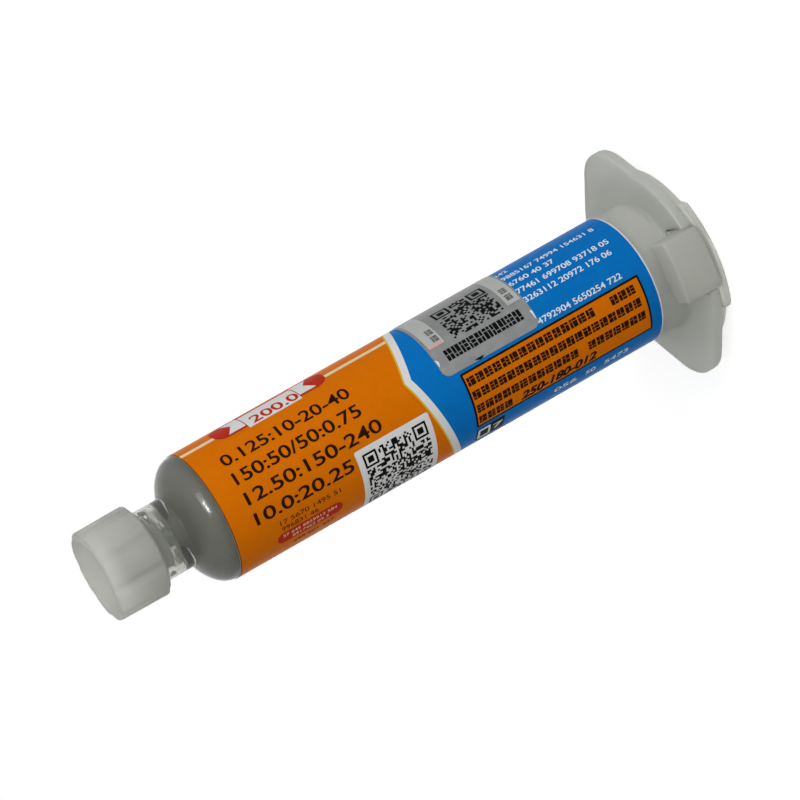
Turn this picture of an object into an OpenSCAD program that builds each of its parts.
// Paste dispensing syringe, 10 cc, stood on the rear face of its end cap.
// +Z runs from the end cap to the tip, the flange wings lie along X and
// the cap's ears near Y, turned by cap_turn. Millimetres.

/* [Barrel] */
// Radius of the bore the piston runs in
bore_r = 7.85; // [7.6:0.05:8.0]
// Outer radius of the tube where the shoulder starts
tube_front_r = 9.05; // [8.9:0.05:9.2]
// Outer radius of the tube at the flange, larger by the mould's draft
tube_rear_r = 9.44; // [9.3:0.02:9.6]
// Height of the shoulder's start above the end cap's rear face
shoulder_z = 77.1; // [76:0.05:80]
// Height of the rounded shoulder's full ellipse
shoulder_h = 4.6; // [4.2:0.1:5.2]
// Wall of the shoulder along the axis
shoulder_wall = 1.3; // [1.0:0.1:1.6]

/* [Nozzle] */
// Outer radius of the locking collar
collar_r = 5.02; // [4.9:0.02:5.2]
// Inner radius of the locking collar
collar_bore_r = 4.0; // [3.9:0.05:4.1]
// Height of the collar's open end
collar_top_z = 88.6; // [88:0.1:89]
// Height of the floor of the gap between collar and tip
collar_floor_z = 82.4; // [82:0.1:83]
// Radius of the tapered tip at its end
tip_r = 1.965; // [1.9:0.005:2.0]
// Growth of the tip's radius for each millimetre back from its end
tip_taper = 0.03; // [0.025:0.005:0.035]
// Length of the tip that stands out of the collar
tip_proud = 2.0; // [1.6:0.1:2.4]
// Radius of the channel through the tip
channel_r = 1.1; // [0.8:0.1:1.3]

/* [Flange] */
// Thickness of the finger flange
flange_t = 1.6; // [1.3:0.05:1.8]
// Radius of the flange's round middle
flange_r = 14.6; // [14.0:0.1:14.7]
// Distance from the axis to the end of a wing
wing_reach = 17.2; // [16.8:0.05:18]
// Radius of the rounded end of a wing
wing_end_r = 7.4; // [5.0:0.1:9.0]
// Fillet between the tube and the flange's front face
flange_fillet = 0.8; // [0.4:0.1:1.0]

/* [End cap] */
// Thickness of the cap's disc
cap_t = 1.5; // [1.2:0.05:1.7]
// Radius of the cap's disc
cap_r = 13.5; // [13.2:0.1:14.0]
// Radius of the two side tabs
tab_r = 15.0; // [14.8:0.1:15.6]
// Width of a side tab
tab_w = 15.6; // [14:0.2:17]
// Bevel of a tab's rear edge
tab_bevel = 0.5; // [0.2:0.1:0.8]
// Turn of the cap, and of the keyways its ears stand in, from the flange's short axis
cap_turn = -7; // [-12:0.5:12]
// Width of an ear
ear_w = 9.0; // [7:0.5:10]
// Distance from the axis to an ear's inner face
ear_in = 10.7; // [10.5:0.1:11.2]
// Height of an ear's front face
ear_top_z = 6.95; // [6:0.05:7.5]
// Wall of the hollow plug
plug_wall = 1.1; // [0.9:0.1:1.4]
// Length of the plug inside the bore
plug_l = 5.5; // [4.5:0.5:6]

/* [Piston] */
// Height of the piston's rear edge
piston_z = 16.9; // [9:0.1:24]
// Length of the piston's skirt over its two wiping rims
piston_l = 8.6; // [7:0.1:10]
// Wall of the piston's skirt
piston_wall = 1.0; // [0.8:0.1:1.4]
// Height of the piston's cone, which matches the shoulder
piston_cone_h = 3.2; // [2.6:0.1:3.6]

/* [Tip cap] */
// Radius of the tip cap over its ribs
tip_cap_r = 6.5; // [6.3:0.05:6.6]
// Depth of the grooves between the ribs
groove_d = 0.5; // [0.3:0.05:0.6]
// Width of a groove
groove_w = 1.3; // [0.9:0.1:1.6]
// Number of grooves round the tip cap
groove_n = 8; // [6:2:12]
// Height of the tip cap's front face
tip_cap_top_z = 93.2; // [92.8:0.05:93.5]
// Height of the rear edge of the tip cap's skirt
tip_cap_rear_z = 85.3; // [85:0.1:86]
// Outer radius of the hub that fills the collar
hub_r = 3.6; // [3.4:0.05:3.7]

/* [Label] */
// Height of the label's rear edge
label_rear_z = 7.92; // [7:0.02:9]
// Height of the label's front edge
label_front_z = 76.95; // [70:0.05:77]
// Thickness of the label film
label_t = 0.13; // [0.08:0.01:0.2]
// Length of the security sticker round the label
sticker_w = 14.0; // [11:0.1:15]
// Length of the security sticker along the axis
sticker_l = 15.7; // [12:0.1:17]
// Thickness of the sticker
sticker_t = 0.08; // [0.06:0.01:0.12]
// Height of the sticker's middle
sticker_z = 33.6; // [28:0.1:36]
// Angle of the sticker's middle round the axis, from -Y towards +X
sticker_angle = 48; // [0:1:90]
// Height of the point of the chevron where the two print colours meet
chevron_z = 45.6; // [40:0.05:52]
// Fall of the chevron from its point to the sides of the tube
chevron_drop = 4.2; // [0:0.1:8]
// Angle of the chevron's point round the axis, from -Y towards +X
chevron_angle = 18; // [0:1:45]

/* [Hidden] */
$fn = 96;
eps = 0.02;                 // overlap that makes two touching forms one
slip = 0.05;                // gap between faces that only rest on each other
fit = 0.03;                 // radial gap of a piece that runs in the bore

flange_z = cap_t;                                   // flange's rear face
flange_top_z = flange_z + flange_t;
tip_top_z = collar_top_z + tip_proud;
tip_radius = function(z) tip_r + tip_taper * (tip_top_z - z);
inner_dome_h = shoulder_h + 0.2;                    // ellipse inside the shoulder
inner_dome_z = shoulder_z - shoulder_wall;
throat_r = 2.3;                                     // where the inside leaves the ellipse
throat_dz = inner_dome_h * sqrt(1 - pow(throat_r / bore_r, 2));
throat_z = inner_dome_z + throat_dz;
channel_z = throat_z + 1.6;                         // cone from the throat to the channel
wing_x = wing_reach - wing_end_r;                   // centre of a wing's round end
wing_turn = acos((flange_r - wing_end_r) / wing_x); // where the straight edge touches
key_w = ear_w + 0.4;                                // keyway in the flange, with 0.2 beside the ear
key_r = ear_in - 0.15;
plug_r = bore_r - fit;
plug_top_z = cap_t + plug_l;
piston_r = bore_r - fit;
piston_top_z = piston_z + piston_l;
cone_tip_z = piston_top_z + piston_cone_h;
tube_r = function(z) tube_rear_r
    - (tube_rear_r - tube_front_r) * (z - flange_top_z) / (shoulder_z - flange_top_z);
film = 0.02;                                        // height of a printed field
cap_gap = 0.08;                                     // radial gap of the tip cap on the collar
luer_gap = 0.06;                                    // gap between the hub and the tapered tip
hub_rear_z = collar_floor_z + 1.2;
lug_r = collar_bore_r - cap_gap;                    // lugs that engage the collar's thread
lug_h = 0.8;
lug_w = 1.6;

// Points of the shoulder's ellipse, from its widest circle to radius r_end
function ellipse_points(r, h, z, r_end, steps = 20) =
    [for (i = [0:steps])
        let (t = acos(r_end / r) * i / steps)
        [r * cos(t), z + h * sin(t)]];

// Quarter-round between a tube of radius r and a face at height z
module fillet_ring(r, z, f) {
    rotate_extrude()
        translate([r - eps, z - eps])
            difference() {
                square(f + eps);
                translate([f + eps, f + eps]) circle(r = f, $fn = 48);
            }
}

// Outline of the flange: a round middle and two wings with straight flanks
module flange_outline() {
    circle(r = flange_r);
    for (side = [0, 180])
        rotate(side) {
            translate([wing_x, 0]) circle(r = wing_end_r, $fn = 64);
            polygon([
                [0, 0],
                flange_r * [cos(wing_turn), -sin(wing_turn)],
                [wing_x, 0] + wing_end_r * [cos(wing_turn), -sin(wing_turn)],
                [wing_x, 0] + wing_end_r * [cos(wing_turn), sin(wing_turn)],
                flange_r * [cos(wing_turn), sin(wing_turn)]
            ]);
        }
}

// Notches in the flange's round middle for the end cap's ears
module keyways() {
    rotate(cap_turn)
        difference() {
            square([key_w, 3 * flange_r], center = true);
            circle(r = key_r);
        }
}

// Tube, shoulder, nozzle and finger flange, moulded in one piece
module barrel() {
    edge = 0.3;
    lead_r = bore_r + 0.4;
    lead_h = 0.7;
    color([0.86, 0.87, 0.85, 0.55])
    difference() {
        union() {
            rotate_extrude()
                polygon(concat(
                    [[0, flange_z], [tube_rear_r, flange_z], [tube_rear_r, flange_top_z]],
                    ellipse_points(tube_front_r, shoulder_h, shoulder_z, collar_r),
                    [[collar_r, collar_top_z - edge], [collar_r - edge, collar_top_z], [0, collar_top_z]]
                ));
            translate([0, 0, collar_top_z - eps])
                cylinder(r1 = tip_radius(collar_top_z), r2 = tip_r, h = tip_proud + eps);
            translate([0, 0, flange_z])
                linear_extrude(flange_t)
                    difference() {
                        flange_outline();
                        keyways();
                    }
            fillet_ring(tube_rear_r, flange_top_z, flange_fillet);
        }
        // bore, inner shoulder and channel
        rotate_extrude()
            polygon(concat(
                [[0, flange_z - 1], [lead_r, flange_z - 1], [lead_r, flange_z],
                 [bore_r, flange_z + lead_h]],
                ellipse_points(bore_r, inner_dome_h, inner_dome_z, throat_r),
                [[channel_r, channel_z], [channel_r, tip_top_z + 1], [0, tip_top_z + 1]]
            ));
        // open ring between the collar and the tapered tip
        rotate_extrude()
            polygon([
                [tip_radius(collar_floor_z), collar_floor_z],
                [collar_bore_r, collar_floor_z],
                [collar_bore_r, collar_top_z + 1],
                [tip_radius(collar_top_z + 1), collar_top_z + 1]
            ]);
    }
}

// Disc, hollow plug, side tabs and ears, moulded in one piece
module end_cap() {
    chamfer = 0.6;
    disc_h = cap_t - slip;
    bead_h = [0.4, 1.2, 1.8, 2.4, 3.2]; // heights of the bead's corners above the disc
    in_front = 0.35;                    // how far the plug steps in past the bead
    in_rear = 0.25;
    color([0.80, 0.81, 0.79, 0.8])
    rotate(cap_turn)
    union() {
        difference() {
            union() {
                cylinder(r = cap_r, h = disc_h);
                intersection() {
                    rotate_extrude()
                        polygon([
                            [0, 0], [tab_r - tab_bevel, 0], [tab_r, tab_bevel], [tab_r, disc_h],
                            [0, disc_h]
                        ]);
                    translate([-tab_w / 2, -2 * tab_r, 0])
                        cube([tab_w, 4 * tab_r, disc_h]);
                }
            }
            translate([0, 0, -1])
                cylinder(r = plug_r - plug_wall, h = cap_t + 2);
        }
        // hollow plug with a sealing bead, open to the rear
        rotate_extrude()
            polygon([
                [plug_r - plug_wall, 0], [plug_r, 0], [plug_r, disc_h],
                [plug_r - in_rear, cap_t + bead_h[0]], [plug_r - in_rear, cap_t + bead_h[1]],
                [plug_r, cap_t + bead_h[2]], [plug_r, cap_t + bead_h[3]],
                [plug_r - in_front, cap_t + bead_h[4]],
                [plug_r - in_front, plug_top_z - chamfer],
                [plug_r - in_front - chamfer, plug_top_z],
                [0, plug_top_z], [0, plug_top_z - plug_wall],
                [plug_r - plug_wall, plug_top_z - plug_wall]
            ]);
        // ears that slide in the flange's keyways
        intersection() {
            for (side = [0, 180])
                rotate(side)
                    translate([ear_w / 2, -ear_in, 0])
                        rotate([90, 0, -90])
                            linear_extrude(ear_w)
                                polygon([
                                    [0, 0], [tab_r - ear_in, 0], [tab_r - ear_in, ear_top_z],
                                    [chamfer, ear_top_z], [0, ear_top_z - chamfer]
                                ]);
            rotate_extrude()
                polygon([
                    [0, 0], [tab_r - tab_bevel, 0], [tab_r, tab_bevel],
                    [tab_r, ear_top_z - 0.4], [tab_r - 0.4, ear_top_z], [0, ear_top_z]
                ]);
        }
    }
}

// Piston with two wiping rims, a cone in front and a hollow back
module piston() {
    rim = 1.3;
    waist = 0.55;
    crown = piston_wall + 0.6;
    color([0.90, 0.90, 0.87])
    rotate_extrude()
        polygon([
            [piston_r, piston_z], [piston_r, piston_z + rim],
            [piston_r - waist, piston_z + rim + waist],
            [piston_r - waist, piston_top_z - rim - waist],
            [piston_r, piston_top_z - rim], [piston_r, piston_top_z],
            [throat_r + 0.3, cone_tip_z - 0.4], [throat_r - 0.8, cone_tip_z], [0, cone_tip_z],
            [0, cone_tip_z - crown],
            [throat_r - 0.6, cone_tip_z - crown],
            [piston_r - waist - piston_wall, piston_top_z - 1.2],
            [piston_r - waist - piston_wall, piston_z]
        ]);
}

// Paste that fills the bore from the piston to the end of the tip
module paste() {
    gap = 0.04;
    r = bore_r - gap;
    color([0.36, 0.36, 0.34])
    rotate_extrude()
        polygon(concat(
            [[0, cone_tip_z + slip], [throat_r - 0.8, cone_tip_z + slip],
             [throat_r + 0.3, cone_tip_z - 0.4 + slip], [r, piston_top_z + slip]],
            ellipse_points(r, inner_dome_h - gap, inner_dome_z, throat_r - gap),
            [[channel_r - gap, channel_z], [channel_r - gap, tip_top_z - 0.2], [0, tip_top_z - 0.2]]
        ));
}

// Grooved cap with a skirt over the collar and a hub inside it
module tip_cap() {
    edge = 0.5;
    lead = 0.14;
    skirt_r = collar_r + cap_gap;
    luer_end_z = tip_top_z + 0.15;
    color([0.88, 0.89, 0.87])
    union() {
        difference() {
            rotate_extrude()
                polygon([
                    [0, luer_end_z - 3], [skirt_r, luer_end_z - 3], [skirt_r, tip_cap_rear_z],
                    [skirt_r + lead, tip_cap_rear_z], [tip_cap_r, tip_cap_rear_z + 0.65],
                    [tip_cap_r - 0.1, tip_cap_top_z - edge], [tip_cap_r - 0.1 - edge, tip_cap_top_z],
                    [0, tip_cap_top_z]
                ]);
            translate([0, 0, tip_cap_rear_z - 1])
                cylinder(r = skirt_r, h = collar_top_z + 0.15 - tip_cap_rear_z + 1);
            cylinder(r = hub_r - 0.5, h = luer_end_z);
            for (i = [0:groove_n - 1])
                rotate(i * 360 / groove_n + 180 / groove_n)
                    translate([tip_cap_r + groove_w / 2 - groove_d, 0, tip_cap_rear_z - 1])
                        cylinder(r = groove_w / 2, h = tip_cap_top_z - tip_cap_rear_z + 2, $fn = 24);
        }
        // hub with two lugs, fitting the taper inside and the collar outside
        difference() {
            union() {
                translate([0, 0, hub_rear_z])
                    cylinder(r = hub_r, h = luer_end_z - hub_rear_z);
                intersection() {
                    translate([0, 0, hub_rear_z])
                        cylinder(r = lug_r, h = lug_h);
                    translate([-lug_r, -lug_w / 2, hub_rear_z])
                        cube([2 * lug_r, lug_w, lug_h]);
                }
            }
            rotate_extrude()
                polygon([
                    [0, hub_rear_z - 1],
                    [tip_radius(hub_rear_z - 1) + luer_gap, hub_rear_z - 1],
                    [tip_radius(luer_end_z) + luer_gap, luer_end_z],
                    [0, luer_end_z]
                ]);
        }
    }
}

module film_tube(r_add, t, z0, z1) {
    rotate_extrude()
        polygon([
            [tube_r(z0) + r_add, z0], [tube_r(z0) + r_add + t, z0],
            [tube_r(z1) + r_add + t, z1], [tube_r(z1) + r_add, z1]
        ]);
}

// Wrap-round label with its front print field ending in a chevron
module label() {
    color([0.02, 0.42, 0.72])
        film_tube(0.01, label_t, label_rear_z, label_front_z);
    color([0.80, 0.42, 0.05])
        intersection() {
            film_tube(0.01, label_t + film, label_rear_z, label_front_z);
            rotate(chevron_angle)
                rotate([90, 0, 0])
                    translate([0, 0, -2 * tube_rear_r])
                        linear_extrude(4 * tube_rear_r)
                            polygon([
                                [0, chevron_z], [2 * tube_rear_r, chevron_z - 2 * chevron_drop],
                                [2 * tube_rear_r, shoulder_z + 1], [-2 * tube_rear_r, shoulder_z + 1],
                                [-2 * tube_rear_r, chevron_z - 2 * chevron_drop]
                            ]);
        }
}

module rounded_square(w, l, r) {
    square([w - 2 * r, l], center = true);
    square([w, l - 2 * r], center = true);
    for (x = [-1, 1], y = [-1, 1])
        translate([x * (w / 2 - r), y * (l / 2 - r)]) circle(r = r, $fn = 32);
}

// Silver sticker with rounded corners, wrapped on the label
module seal_sticker() {
    corner = 1.1;
    half_w = tube_rear_r * sin(sticker_w / 2 / tube_rear_r * 180 / PI);
    color([0.66, 0.67, 0.66])
        rotate(sticker_angle)
            intersection() {
                film_tube(label_t + film + 0.02, sticker_t,
                    sticker_z - sticker_l / 2, sticker_z + sticker_l / 2);
                rotate([90, 0, 0])
                    linear_extrude(2 * tube_rear_r)
                        translate([0, sticker_z])
                            rounded_square(2 * half_w, sticker_l, corner);
            }
}

barrel();
end_cap();
piston();
paste();
tip_cap();
label();
seal_sticker();
